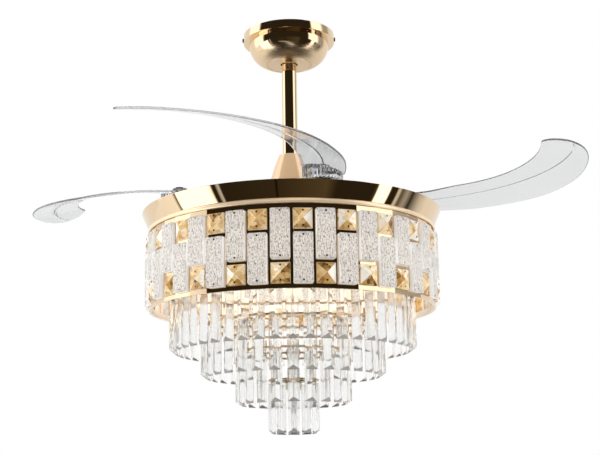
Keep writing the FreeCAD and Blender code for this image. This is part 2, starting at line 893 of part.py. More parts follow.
def tier_frame(tier):
    low = tier_ring_bottom(tier)
    high = low + tier_ring_thickness
    spare = (hub_height - tier_ring_thickness) / 2
    circle = hook_circle(tier)
    hoop = ring(circle + tier_ring_width / 2, circle - tier_ring_width / 2, low, high)
    hub = disc(hub_radius, low - spare, high + spare)
    spoke = block(hub_radius - overrun, circle, spoke_width, low, high)
    body = joined([hoop, hub] + pattern(spoke, spoke_count))
    return body.cut(disc(stem_radius, low - spare - overrun, high + spare + overrun))


def prism(tier):
    """Three-sided drop with its ridge outward and its foot cut off at a slant."""
    top = tier_tops[tier]
    low = top - prism_length
    back = tier_radii[tier] - prism_depth
    plan = ((back, -prism_width / 2, 0), (tier_radii[tier], 0, prism_cut), (back, prism_width / 2, 0))
    foot = polygon([V(x, y, low + rise) for x, y, rise in plan])
    head = polygon([V(x, y, top) for x, y, rise in plan])
    return Part.makeLoft([foot, head], True, True)


def tier_prisms(tier):
    return group(pattern(prism(tier), tier_counts[tier], -90))


def prism_hooks():
    hooks = []
    for tier, count in enumerate(tier_counts):
        hook = slab(hook_width, hook_width, tier_tops[tier], tier_ring_bottom(tier))
        hooks += pattern(hook, count, -90, hook_circle(tier))
    return group(hooks)


def stem_nut():
    top = stem_end()
    low = top - finial_height
    shoulder = top - finial_height / 2
    return turned([(0, low), (finial_tip_radius, low), (finial_radius, shoulder),
                   (finial_radius, top), (0, top)])


nodes = {
    "ceiling_bracket": ceiling_bracket(),
    "canopy": canopy(),
    "canopy_screws": canopy_screws(),
    "receiver_box": receiver_box(),
    "hanger_ball": hanger_ball(),
    "ball_pin": ball_pin(),
    "downrod": downrod(),
    "yoke": yoke(),
    "clevis_pin": clevis_pin(),
    "yoke_set_screws": yoke_set_screws(),
    "coupling_cover": coupling_cover(),
    "motor_shaft": motor_shaft(),
    "bearing_inner_rings": bearing_inner_rings(),
    "bearing_outer_rings": bearing_outer_rings(),
    "stator_core": stator_core(),
    "stator_windings": stator_windings(),
    "motor_can": motor_can(),
    "rotor_magnets": rotor_magnets(),
    "rotor_screws": rotor_screws(),
    "rotor_plate": rotor_plate_piece(),
    "pivot_posts": pivot_posts(),
    "post_caps": post_caps(),
    "sync_ring": sync_ring(),
    "ring_keepers": ring_keepers(),
    "motor_pan": motor_pan(),
    "gold_band": gold_band(),
    "bead_ring": bead_ring(),
    "drum_top_ring": drum_top_ring(),
    "drum_bottom_ring": drum_bottom_ring(),
    "drum_posts": drum_posts(),
    "drum_crossbars": drum_crossbars(),
    "glass_panels": glass_panels(),
    "amber_tiles": amber_tiles(),
    "ring_screws": ring_screws(),
    "coupling_nut": coupling_nut(),
    "stem": stem(),
    "lamp_holders": lamp_holders(),
    "bulbs": bulbs(),
    "prism_hooks": prism_hooks(),
    "stem_nut": stem_nut(),
}
clear_blade = blade()
clear_gear = blade_gear()
for number in range(blade_count):
    turn = first_pivot_angle + 360 * number / blade_count
    nodes[f"blade_{number + 1}"] = placed(clear_blade, turn)
    nodes[f"blade_gear_{number + 1}"] = placed(clear_gear, turn)
for number in range(len(tier_radii)):
    nodes[f"tier_{number + 1}_frame"] = tier_frame(number)
    nodes[f"tier_{number + 1}_prisms"] = tier_prisms(number)

os.makedirs("parts", exist_ok=True)
for name, shape in nodes.items():
    shape.exportStep(f"parts/{name}.step")
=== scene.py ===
import bpy
import bmesh
import math
import numpy as np
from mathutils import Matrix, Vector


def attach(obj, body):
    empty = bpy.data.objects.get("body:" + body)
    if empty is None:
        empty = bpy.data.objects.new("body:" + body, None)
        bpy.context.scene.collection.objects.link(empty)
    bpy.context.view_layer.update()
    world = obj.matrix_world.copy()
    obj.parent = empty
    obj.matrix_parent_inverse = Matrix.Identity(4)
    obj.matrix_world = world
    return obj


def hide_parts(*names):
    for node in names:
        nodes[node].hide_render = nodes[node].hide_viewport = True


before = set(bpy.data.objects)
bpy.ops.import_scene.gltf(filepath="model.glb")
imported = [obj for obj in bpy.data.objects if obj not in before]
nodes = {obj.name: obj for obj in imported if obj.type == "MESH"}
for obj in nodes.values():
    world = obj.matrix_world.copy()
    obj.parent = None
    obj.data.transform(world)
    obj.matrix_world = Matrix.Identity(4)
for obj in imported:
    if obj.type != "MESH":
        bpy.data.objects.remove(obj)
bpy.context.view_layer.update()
scene = bpy.context.scene

# Viewpoint
# The photo looks up at the fan from almost two metres away and a little below its lowest prisms.
# The picture leans slightly and has the fan a little left of its middle.
VIEW_PLACE = (0, -1.934, -0.779)
VIEW_UPWARD, VIEW_LEAN = 12.68, -0.8
LENS_LENGTH, SENSOR_WIDTH, SIDE_SHIFT = 70.5, 36, 0.0143

camera = bpy.data.objects.new("viewpoint", bpy.data.cameras.new("viewpoint"))
scene.collection.objects.link(camera)
camera.location = VIEW_PLACE
camera.rotation_euler = (math.radians(90 + VIEW_UPWARD), 0, 0)
camera.rotation_euler.rotate_axis("Z", math.radians(VIEW_LEAN))
camera.data.lens = LENS_LENGTH
camera.data.sensor_width = SENSOR_WIDTH
camera.data.shift_x = SIDE_SHIFT
scene.camera = camera
scene.view_settings.view_transform = "Standard"

# Studio
# A white room with two bright side windows and an unlit end behind the viewpoint, which polished metal
# shows as dark and white upright bands. A pale floor lies at the height of a usual room, and three wide
# soft lamps light the fan from both sides and from the rear.
FLOOR_LEVEL, FLOOR_REACH = -2.45, 14
FLOOR_GREY, FLOOR_ROUGHNESS = 0.86, 0.8
SEEN_LIGHT, CAST_LIGHT = 1.0, 0.75
WINDOW_GAIN = 2.0
UNLIT_BELOW, UNLIT_TINT, WHITE = 0.1, (1, 0.75, 0.4), (1, 1, 1)
# Degrees from the viewpoint's side, positive on the right, and the brightness there
WALL_LIGHT = ((-180, 0.46), (-120, 0.46), (-108, 0.85), (-81, 0.85), (-74, 0.012), (56, 0.012),
              (60, 0.8), (86, 0.8), (96, 0.2), (112, 0.2), (124, 0.44), (180, 0.46))
FLOOR_LIGHT = ((-180, 0.42), (-122, 0.5), (-99, 0.55), (-98, 0.03), (-97, 0.03), (-96, 1.0), (-68, 1.0),
               (-63.5, 0.8), (-62.5, 0.012), (-58, 0.012), (-57.5, 0.3), (-56, 0.3), (-55.5, 0.012),
               (-12, 0.018), (-11.3, 0.002), (-10.6, 0.002), (-10, 0.018), (28, 0.04), (36, 0.012),
               (67, 0.012), (69.5, 0.05), (70, 1.0), (80, 1.0), (81.5, 0.012), (88, 0.012), (89, 0.5),
               (92, 0.03), (98, 0.2), (104, 0.012), (116, 0.34), (124, 0.44), (180, 0.42))
LAMPS = (("key_lamp", (-2.2, -0.7, 0.2), 40, 1.2),
         ("fill_lamp", (2.2, -0.6, 0.1), 34, 1.0),
         ("rear_lamp", (0.3, 2.2, -0.2), 14, 1.4))
LAMP_AIM = (0, 0, -0.4)


def wire(tree, start, end):
    """Link between two sockets of a node tree."""
    tree.links.new(start, end)


def arithmetic(tree, operation, *values):
    """One sum in a node tree; each value is a socket or a number."""
    made = tree.nodes.new("ShaderNodeMath")
    made.operation = operation
    for place, value in enumerate(values):
        if isinstance(value, (int, float)):
            made.inputs[place].default_value = value
        else:
            wire(tree, value, made.inputs[place])
    return made.outputs[0]


def colour_ramp(tree, value, stops):
    """Colour that runs evenly from stop to stop, each a share and a colour, read at a value socket."""
    made = tree.nodes.new("ShaderNodeValToRGB")
    elements = made.color_ramp.elements
    while len(elements) < len(stops):
        elements.new(0.5)
    for element, (share, colour) in zip(elements, stops):
        element.position = share
        element.color = (*colour, 1)
    wire(tree, value, made.inputs[0])
    return made.outputs[0]


def studio_group():
    """Light of the walls and of the floor by compass direction round the fan, with the viewpoint's side at
    zero degrees. Each ramp runs once round, brown where the room is unlit, and is then doubled."""
    group = bpy.data.node_groups.new("studio_surround", "ShaderNodeTree")
    group.interface.new_socket("Direction", in_out="INPUT", socket_type="NodeSocketVector")
    for side in ("Wall", "Floor"):
        group.interface.new_socket(side, in_out="OUTPUT", socket_type="NodeSocketColor")
    start, end = group.nodes.new("NodeGroupInput"), group.nodes.new("NodeGroupOutput")
    parts = group.nodes.new("ShaderNodeSeparateXYZ")
    wire(group, start.outputs["Direction"], parts.inputs[0])
    front = arithmetic(group, "MULTIPLY", parts.outputs["Y"], -1.0)
    compass = arithmetic(group, "ARCTAN2", parts.outputs["X"], front)
    round_share = arithmetic(group, "MULTIPLY_ADD", compass, 0.5 / math.pi, 0.5)
    for side, light in (("Wall", WALL_LIGHT), ("Floor", FLOOR_LIGHT)):
        stops = []
        for degrees, glow in light:
            tint = UNLIT_TINT if glow < UNLIT_BELOW else WHITE
            stops.append((degrees / 360 + 0.5, [glow * part for part in tint]))
        gain = group.nodes.new("ShaderNodeVectorMath")
        gain.operation = "SCALE"
        gain.inputs["Scale"].default_value = WINDOW_GAIN
        wire(group, colour_ramp(group, round_share, stops), gain.inputs[0])
        wire(group, gain.outputs[0], end.inputs[side])
    return group


studio = studio_group()


def surround(tree, coordinates, side):
    """Light of the room as a socket, for the named coordinates of a world or a floor."""
    made = tree.nodes.new("ShaderNodeGroup")
    made.node_tree = studio
    wire(tree, tree.nodes.new("ShaderNodeTexCoord").outputs[coordinates], made.inputs["Direction"])
    return made.outputs[side]


def mirror_ray(tree):
    """One on a ray that left a polished face, nought on one through glass or from the viewpoint."""
    path = tree.nodes.new("ShaderNodeLightPath")
    kept = arithmetic(tree, "SUBTRACT", 1.0, path.outputs["Is Transmission Ray"])
    return arithmetic(tree, "MULTIPLY", path.outputs["Is Glossy Ray"], kept)


world = bpy.data.worlds.new("studio")
world.use_nodes = True
scene.world = world
sky = world.node_tree
ray = sky.nodes.new("ShaderNodeLightPath")
seen = arithmetic(sky, "MAXIMUM", ray.outputs["Is Camera Ray"], ray.outputs["Is Transmission Ray"])
seen = arithmetic(sky, "MAXIMUM", seen, ray.outputs["Is Glossy Ray"])
sky_level = arithmetic(sky, "MULTIPLY_ADD", seen, SEEN_LIGHT - CAST_LIGHT, CAST_LIGHT)
room = sky.nodes.new("ShaderNodeMix")
room.data_type = "RGBA"
wire(sky, mirror_ray(sky), room.inputs["Factor"])
room_plain, room_mirrored = room.inputs[6], room.inputs[7]
room_plain.default_value = (*WHITE, 1)
wire(sky, surround(sky, "Generated", "Wall"), room_mirrored)
wire(sky, room.outputs[2], sky.nodes["Background"].inputs["Color"])
wire(sky, sky_level, sky.nodes["Background"].inputs["Strength"])

floor_mesh = bpy.data.meshes.new("floor")
floor_corners = [(x * FLOOR_REACH, y * FLOOR_REACH, FLOOR_LEVEL)
                 for x, y in ((-1, -1), (1, -1), (1, 1), (-1, 1))]
floor_mesh.from_pydata(floor_corners, [], [(0, 1, 2, 3)])
floor = bpy.data.objects.new("floor", floor_mesh)
scene.collection.objects.link(floor)
floor_paint = bpy.data.materials.new("floor")
floor_paint.use_nodes = True
floor_tree = floor_paint.node_tree
floor_plain = floor_tree.nodes["Principled BSDF"]
floor_plain.inputs["Base Color"].default_value = (FLOOR_GREY, FLOOR_GREY, FLOOR_GREY, 1)
floor_plain.inputs["Roughness"].default_value = FLOOR_ROUGHNESS
floor_mirrored = floor_tree.nodes.new("ShaderNodeEmission")
wire(floor_tree, surround(floor_tree, "Object", "Floor"), floor_mirrored.inputs["Color"])
floor_mix = floor_tree.nodes.new("ShaderNodeMixShader")
wire(floor_tree, mirror_ray(floor_tree), floor_mix.inputs[0])
wire(floor_tree, floor_plain.outputs[0], floor_mix.inputs[1])
wire(floor_tree, floor_mirrored.outputs[0], floor_mix.inputs[2])
wire(floor_tree, floor_mix.outputs[0], floor_tree.nodes["Material Output"].inputs["Surface"])
floor_mesh.materials.append(floor_paint)


def unseen_lamp(name, kind, place, power):
    """Lamp of a kind that lights the fan and is not seen itself, in a mirror or through glass."""
    lamp = bpy.data.objects.new(name, bpy.data.lights.new(name, kind))
    lamp.data.energy = power
    lamp.location = place
    lamp.visible_glossy = lamp.visible_camera = lamp.visible_transmission = False
    scene.collection.objects.link(lamp)
    return lamp


for lamp_name, lamp_place, lamp_power, lamp_width in LAMPS:
    soft_lamp = unseen_lamp(lamp_name, "AREA", lamp_place, lamp_power)
    soft_lamp.data.size = lamp_width
    towards = Vector(LAMP_AIM) - soft_lamp.location
    soft_lamp.rotation_euler = towards.to_track_quat("-Z", "Y").to_euler()

# Ceiling bracket and receiver
# A bent zinc plated steel strip screwed to the ceiling box carries the ball seat; the receiver for the
# remote control is a moulded black box beside it. The canopy hides both.


def variation_group():
    """Slow cloudy change of a surface: a roughness between two limits, a shade round one and a height."""
    group = bpy.data.node_groups.new("fine_variation", "ShaderNodeTree")
    for socket in ("Scale", "Low", "High", "Spread"):
        group.interface.new_socket(socket, in_out="INPUT", socket_type="NodeSocketFloat")
    for socket in ("Roughness", "Shade", "Height"):
        group.interface.new_socket(socket, in_out="OUTPUT", socket_type="NodeSocketFloat")
    start, end = group.nodes.new("NodeGroupInput"), group.nodes.new("NodeGroupOutput")
    cloud = group.nodes.new("ShaderNodeTexNoise")
    cloud.inputs["Detail"].default_value = 5
    wire(group, group.nodes.new("ShaderNodeTexCoord").outputs["Object"], cloud.inputs["Vector"])
    wire(group, start.outputs["Scale"], cloud.inputs["Scale"])
    value = cloud.outputs["Fac"]
    span = arithmetic(group, "SUBTRACT", start.outputs["High"], start.outputs["Low"])
    rough = arithmetic(group, "MULTIPLY_ADD", value, span, start.outputs["Low"])
    swing = arithmetic(group, "SUBTRACT", value, 0.5)
    shade = arithmetic(group, "MULTIPLY_ADD", swing, start.outputs["Spread"], 1.0)
    wire(group, rough, end.inputs["Roughness"])
    wire(group, shade, end.inputs["Shade"])
    wire(group, value, end.inputs["Height"])
    return group


variation = variation_group()


def finish(name, colour, rough, grain, spread=0.1, relief=0.0, **settings):
    """Material with a cloudy change of colour and roughness and a slight relief. Rough holds two limits,
    grain the clouds per metre, spread the change of shade; settings name other inputs of the shader."""
    made = bpy.data.materials.new(name)
    made.use_nodes = True
    tree = made.node_tree
    shader = tree.nodes["Principled BSDF"]
    change = tree.nodes.new("ShaderNodeGroup")
    change.node_tree = variation
    for socket, value in (("Scale", grain), ("Low", rough[0]), ("High", rough[1]), ("Spread", spread)):
        change.inputs[socket].default_value = value
    tint = tree.nodes.new("ShaderNodeVectorMath")
    tint.operation = "SCALE"
    tint.inputs[0].default_value = colour
    wire(tree, change.outputs["Shade"], tint.inputs["Scale"])
    wire(tree, tint.outputs[0], shader.inputs["Base Color"])
    wire(tree, change.outputs["Roughness"], shader.inputs["Roughness"])
    if relief:
        bump = tree.nodes.new("ShaderNodeBump")
        bump.inputs["Distance"].default_value = relief
        wire(tree, change.outputs["Height"], bump.inputs["Height"])
        wire(tree, bump.outputs[0], shader.inputs["Normal"])
    for socket, value in settings.items():
        shader.inputs[socket.replace("_", " ")].default_value = value
    return made


def dress(made, *names):
    """Gives CAD nodes one material."""
    for name in names:
        nodes[name].data.materials.clear()
        nodes[name].data.materials.append(made)


steel = finish("zinc_steel", (0.60, 0.60, 0.61), rough=(0.22, 0.42), grain=90, Metallic=1.0)
black = finish("black_plastic", (0.018, 0.018, 0.019), rough=(0.32, 0.5), grain=400, relief=0.0002)
dress(steel, "ceiling_bracket")
dress(black, "receiver_box", "hanger_ball")

# Canopy
# A spun brass cup plated in pale rose gold: a plain upright rim, a step, a rounded bowl and a flat foot
# with a fine turned groove. It is polished, and satin towards the foot. Two screws hold it to the bracket.
GOLD = (0.86, 0.66, 0.43)
CANOPY_WALL, RIM_ROUND = 1.5, 0.9
RIM_RADIUS, RIM_TOP, RIM_FOOT, STEP_RADIUS = 79.0, -1.0, -15.0, 70.2
BOWL_RADIUS, BOWL_SWELL, BOWL_INNER_SWELL = 69.0, (62.62, -39.18), (61.45, -38.25)
FOOT_RADIUS, FOOT_LEVEL, ROD_HOLE = 40.0, -54.0, 15.0
GROOVE_RADII, GROOVE_DEPTH = (39.2, 38.9, 37.7, 37.4), 0.8
HOLE_FLARE, HOLE_BEVEL = 0.6, 0.4
ROUND_POINTS, SHORT_SIDE_SHARE = 5, 0.4
SATIN_FROM, SATIN_BY, SATIN_GAIN = -0.03, -0.05, 0.32
gold = finish("rose_gold", GOLD, rough=(0.015, 0.04), grain=30, spread=0.06, Metallic=1.0)


def bend(first, middle, last, steps):
    """Points at even turns on the circle through three points, from the first to the last."""
    (ax, ay), (bx, by), (cx, cy) = first, middle, last
    twice = 2 * (ax * (by - cy) + bx * (cy - ay) + cx * (ay - by))
    a, b, c = ax * ax + ay * ay, bx * bx + by * by, cx * cx + cy * cy
    x = (a * (by - cy) + b * (cy - ay) + c * (ay - by)) / twice
    y = (a * (cx - bx) + b * (ax - cx) + c * (bx - ax)) / twice
    turns = np.unwrap([math.atan2(py - y, px - x) for px, py in (first, middle, last)])
    angle = np.linspace(turns[0], turns[2], steps)
    radius = math.hypot(ax - x, ay - y)
    return np.stack([x + radius * np.cos(angle), y + radius * np.sin(angle)], -1).tolist()


def softened(points, size):
    """Closed outline with every corner cut back by size, or by a share of a short side, and rounded with a
    parabola of a few points."""
    corner = np.array(points, float)
    ends = []
    for neighbour in (1, -1):
        side = np.roll(corner, neighbour, 0) - corner
        length = np.linalg.norm(side, axis=1)[:, None]
        ends.append((corner + side * np.minimum(size, length * SHORT_SIDE_SHARE) / length)[:, None])
    share = np.linspace(0, 1, ROUND_POINTS)[None, :, None]
    curve = (1 - share) ** 2 * ends[0] + 2 * share * (1 - share) * corner[:, None] + share ** 2 * ends[1]
    return curve.reshape(-1, 2).tolist()


def net(rows, columns, close_rows=True, close_columns=True):
    """Corner numbers of the quads of a grid of points that may join up with itself both ways."""
    r = np.arange(rows if close_rows else rows - 1)[:, None]
    c = np.arange(columns if close_columns else columns - 1)[None, :]
    right, up = (r + 1) % rows, (c + 1) % columns
    quads = np.stack([r * columns + c, right * columns + c, right * columns + up, r * columns + up], -1)
    return quads.reshape(-1, 4)


def lathe(outline, turns=192):
    """Closed outline of (radius, level) in millimetres carried round Z in equal steps."""
    radius, level = np.array(outline).T / 1000
    angle = np.linspace(0, 2 * math.pi, turns, endpoint=False)[:, None]
    places = np.stack(np.broadcast_arrays(radius * np.cos(angle), radius * np.sin(angle), level), -1)
    return places.reshape(-1, 3), net(turns, len(radius)).tolist()


def piece(name, places, faces, made, body, slot, replaced=(), crease=35):
    """Object from points and lists of corners, welded, with faces outward, on a CAD body in place of CAD
    nodes. Edges that turn by more than the crease in degrees stay sharp."""
    mesh = bpy.data.meshes.new(name)
    mesh.from_pydata(places.tolist(), [], faces)
    work = bmesh.new()
    work.from_mesh(mesh)
    bmesh.ops.remove_doubles(work, verts=work.verts, dist=1e-6)
    bmesh.ops.recalc_face_normals(work, faces=work.faces)
    work.to_mesh(mesh)
    work.free()
    mesh.shade_smooth()
    mesh.set_sharp_from_angle(angle=math.radians(crease))
    mesh.materials.append(made)
    shown = bpy.data.objects.new(name, mesh)
    scene.collection.objects.link(shown)
    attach(shown, body)
    if replaced:
        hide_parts(*replaced)
    return shown


def canopy_outline():
    """From the rim's top down its outside, over the step, down the bowl, across the foot and its groove,
    up inside the rod's hole and back along the inner wall."""
    inner_radius, inner_step = RIM_RADIUS - CANOPY_WALL, RIM_FOOT + CANOPY_WALL
    inner_foot, inner_bowl_radius = FOOT_LEVEL + CANOPY_WALL, BOWL_RADIUS - CANOPY_WALL
    rim = softened([(inner_radius, inner_step), (inner_radius, RIM_TOP), (RIM_RADIUS, RIM_TOP),
                    (RIM_RADIUS, RIM_FOOT), (STEP_RADIUS, RIM_FOOT)], RIM_ROUND)
    bowl = bend((BOWL_RADIUS, RIM_FOOT), BOWL_SWELL, (FOOT_RADIUS, FOOT_LEVEL), steps=28)
    groove_floor = FOOT_LEVEL + GROOVE_DEPTH
    groove = list(zip(GROOVE_RADII, (FOOT_LEVEL, groove_floor, groove_floor, FOOT_LEVEL)))
    hole = [(ROD_HOLE + HOLE_FLARE, FOOT_LEVEL), (ROD_HOLE, FOOT_LEVEL + HOLE_BEVEL),
            (ROD_HOLE, inner_foot - HOLE_BEVEL), (ROD_HOLE + HOLE_BEVEL, inner_foot)]
    inner_bowl = bend((FOOT_RADIUS, inner_foot), BOWL_INNER_SWELL, (inner_bowl_radius, RIM_FOOT), steps=16)
    inner_corner = [(inner_bowl_radius, inner_step)]
    return rim[ROUND_POINTS:] + bowl + groove + hole + inner_bowl + inner_corner + rim[:ROUND_POINTS]


def canopy_plating():
    """Gold with its roughness raised evenly from one level down to another, and fully below that."""
    made = finish("canopy_gold", GOLD, rough=(0.035, 0.085), grain=30, spread=0.06, Metallic=1.0)
    tree = made.node_tree
    parts = tree.nodes.new("ShaderNodeSeparateXYZ")
    wire(tree, tree.nodes.new("ShaderNodeTexCoord").outputs["Object"], parts.inputs[0])
    satin = tree.nodes.new("ShaderNodeMapRange")
    wire(tree, parts.outputs["Z"], satin.inputs["Value"])
    for socket, value in (("From Min", SATIN_FROM), ("From Max", SATIN_BY), ("To Max", SATIN_GAIN)):
        satin.inputs[socket].default_value = value
    rough = tree.nodes["Principled BSDF"].inputs["Roughness"]
    wire(tree, arithmetic(tree, "ADD", rough.links[0].from_socket, satin.outputs[0]), rough)
    return made


piece("canopy_shell", *lathe(canopy_outline()), canopy_plating(), "ceiling_mount", "gold", ["canopy"],
      crease=12)
dress(gold, "canopy_screws")

# Downrod
# A drawn tube of 26 mm with the canopy's plating; a cross pin holds it in the hanger ball and a clevis
# pin in the yoke, both out of sight.
ROD_RADIUS, ROD_BORE, ROD_TOP, ROD_FOOT, ROD_ROUND = 13, 11, -24, -280, 0.5
rod = softened([(ROD_RADIUS, ROD_TOP), (ROD_RADIUS, ROD_FOOT), (ROD_BORE, ROD_FOOT), (ROD_BORE, ROD_TOP)],
               ROD_ROUND)
piece("downrod_tube", *lathe(rod, turns=96), gold, "hanging", "gold", ["downrod"])
dress(steel, "ball_pin", "yoke", "clevis_pin", "yoke_set_screws")

# Coupling cover
# A spun bell in a satin paler gold with a clear lacquer. It slides down the rod over the yoke and its
# screws and rests on the yoke's flange; it does not turn.
COVER_TOP, COVER_FOOT, COVER_WALL, COVER_HOLE = -219.0, -293.0, 1.5, 14.0
SHOULDER_RADIUS, SKIRT_RADIUS, BELL_RADIUS, BELL_LEVEL = 20.0, 42.0, 33.0, -256.0
SHOULDER_FLAT, COLLAR_BEVEL = 19.4, 0.5
cover_gold = finish("pale_gold", (0.80, 0.54, 0.32), rough=(0.12, 0.2), grain=60, spread=0.08,
                    Metallic=0.2, Coat_Weight=0.6)
cover_under = COVER_TOP - COVER_WALL
bell = bend((SHOULDER_RADIUS, COVER_TOP), (BELL_RADIUS, BELL_LEVEL), (SKIRT_RADIUS, COVER_FOOT), steps=32)
inner_bell = bend((SKIRT_RADIUS - COVER_WALL, COVER_FOOT), (BELL_RADIUS - COVER_WALL, BELL_LEVEL),
                  (SHOULDER_RADIUS - COVER_WALL, cover_under), steps=24)
collar = [(COVER_HOLE + COLLAR_BEVEL, cover_under), (COVER_HOLE, cover_under + COLLAR_BEVEL),
          (COVER_HOLE, COVER_TOP - COLLAR_BEVEL), (COVER_HOLE + COLLAR_BEVEL, COVER_TOP)]
cover = collar[3:] + [(SHOULDER_FLAT, COVER_TOP)] + bell + inner_bell + collar[:3]
piece("coupling_bell", *lathe(cover), cover_gold, "hanging", "cover_gold", ["coupling_cover"])

# Motor
# A flat outer rotor motor: a still shaft with a wound laminated core, and a black steel can with magnets
# that turns with the plate the blades stand on. The can sits inside the band, the plate just above it.
iron = finish("laminations", (0.20, 0.20, 0.21), rough=(0.4, 0.6), grain=300, Metallic=1.0)
copper = finish("winding_wire", (0.60, 0.25, 0.12), rough=(0.25, 0.45), grain=500, relief=0.0004,
                Metallic=1.0)
painted = finish("black_paint", (0.022, 0.021, 0.021), rough=(0.3, 0.45), grain=250, relief=0.0001)
dress(steel, "motor_shaft", "bearing_inner_rings", "bearing_outer_rings", "rotor_screws")
dress(iron, "stator_core", "rotor_magnets")
dress(copper, "stator_windings")
dress(painted, "motor_can", "rotor_plate")

# Fold gearing
# A black moulded ring with teeth all round keeps four clear hub gears in step. It runs round a raised
# rim on the rotor plate under steel keepers, and each gear turns on a steel post with a riveted cap.
BLADE_COUNT = 4
clear = finish("clear_gear", (0.90, 0.92, 0.93), rough=(0.03, 0.08), grain=120, spread=0.03,
               Transmission_Weight=0.92, IOR=1.42, Specular_IOR_Level=0.15)
dress(black, "sync_ring")
dress(steel, "pivot_posts", "post_caps", "ring_keepers")
dress(clear, *(f"blade_gear_{k + 1}" for k in range(BLADE_COUNT)))

# Blades
# Four clear moulded acrylic blades, bent in plan like a sickle and pitched, each with a thin rib along
# its middle and a hexagonal boss on its post. Thickness runs out in a rounded edge all round.
FIRST_BLADE, PIVOT, BLADE_LEVEL, BLADE_RISE = 15, 190.0, -292.4, 0.044
BEND_RADIUS, ROOT_HEADING = 243.0, math.radians(-13)
BLADE_LENGTH, ROOT_HALF, WIDEST_HALF, HALF_SHEET = 410.0, 35.0, 50.0, 1.5
# Shares of the length along and of the widest half across, from root to tip
OUTER_SIDE = ((0.19, 0.78), (0.41, 0.93), (0.58, 0.985), (0.68, 0.91), (0.8, 0.76), (0.885, 0.61),
              (0.95, 0.48), (1.005, 0.33), (1.045, 0.13), (1.066, -0.18), (1.058, -0.52), (1.03, -0.8),
              (0.985, -1.0))
INNER_SIDE = ((0.2, -0.73), (0.42, -0.69), (0.66, -0.75), (0.86, -0.88), (0.985, -1.0))
ROOT_PITCH, PITCH_GAIN, TWIST_START, TWIST_SHARE = 12, 5, 0.11, 0.19
RIB_HEIGHT, RIB_SPREAD, RIB_NEEDS, RIB_LIMITS = 1.2, 1.9, 12, (0.3, 0.7)
# Shares of the way from the rib to an edge
RIB_TO_EDGE = (0, 0.02, 0.04, 0.065, 0.1, 0.2, 0.32, 0.44, 0.56, 0.68, 0.8, 0.88, 0.93, 0.96, 0.98,
               0.99, 0.996, 1)
ROOT_POINTS, SIDE_POINTS, BLADE_ROWS = 60, 601, 130
CORNER_MEAN, CORNER_EASE = 15, 30
BOSS_HALF, BOSS_BORE, BOSS_BEVEL = 13, 6.05, 0.6
BOSS_FOOT, BOSS_HEAD, BOSS_TURNS = -301.4, -288.3, 96
acrylic = finish("clear_acrylic", (0.815, 0.82, 0.825), rough=(0.02, 0.05), grain=8, spread=0.06,
                 Transmission_Weight=0.92, IOR=1.18)


def smooth_curve(points, count):
    """Natural cubic curve through points, measured along its chords and read at even steps."""
    place = np.array(points, float)
    chord = np.diff(place, axis=0)
    gap = np.linalg.norm(chord, axis=1)[:, None]
    mark = np.concatenate([[0], np.cumsum(gap)])
    last = len(place) - 1
    inner = np.arange(1, last)
    system = np.eye(last + 1)
    system[inner, inner - 1], system[inner, inner + 1] = gap[:-1, 0], gap[1:, 0]
    system[inner, inner] = 2 * (gap[:-1, 0] + gap[1:, 0])
    change = np.zeros_like(place)
    change[1:-1] = 6 * (chord[1:] / gap[1:] - chord[:-1] / gap[:-1])
    curl = np.linalg.solve(system, change)
    at = np.linspace(0, mark[-1], count)
    k = np.clip(np.searchsorted(mark, at, side="right") - 1, 0, last - 1)
    a = ((mark[k + 1] - at) / gap[k, 0])[:, None]
    b = 1 - a
    sway = ((a ** 3 - a) * curl[k] + (b ** 3 - b) * curl[k + 1]) * gap[k] ** 2 / 6
    return a * place[k] + b * place[k + 1] + sway


def blade_sides():
    """The outline split at its farthest point into an outer and an inner side, each from the back of the
    round root, as lengths along and across the centre line. A running mean, which fades out towards both
    ends of a side, rounds the corners on the way."""
    size = np.array([BLADE_LENGTH, WIDEST_HALF])
    outer = smooth_curve([(0, ROOT_HALF)] + [tuple(size * share) for share in OUTER_SIDE], count=700)
    inner = smooth_curve([(0, -ROOT_HALF)] + [tuple(size * share) for share in INNER_SIDE], count=400)
    split = np.argmax(outer[:, 0])
    fan = np.linspace(0, math.pi / 2, ROOT_POINTS)[:-1]
    root = np.stack([-ROOT_HALF * np.cos(fan), ROOT_HALF * np.sin(fan)], -1)
    half_mean = CORNER_MEAN // 2
    sides = []
    for way, path in ((1, outer[:split + 1]), (-1, np.concatenate([inner, outer[:split - 1:-1]]))):
        path = np.concatenate([root * [1, way], path])
        length = np.concatenate([[0], np.cumsum(np.linalg.norm(np.diff(path, axis=0), axis=1))])
        at = np.linspace(0, length[-1], SIDE_POINTS)
        path = np.stack([np.interp(at, length, path[:, axis]) for axis in (0, 1)], -1)
        first, last = (np.repeat(end, half_mean, 0) for end in (path[:1], path[-1:]))
        longer = np.concatenate([first, path, last])
        mean = sum(longer[n:n + SIDE_POINTS] for n in range(CORNER_MEAN)) / CORNER_MEAN
        inside = np.clip(np.minimum(at, length[-1] - at) / CORNER_EASE, 0, 1)[:, None]
        sides.append(path + (mean - path) * inside)
    return sides


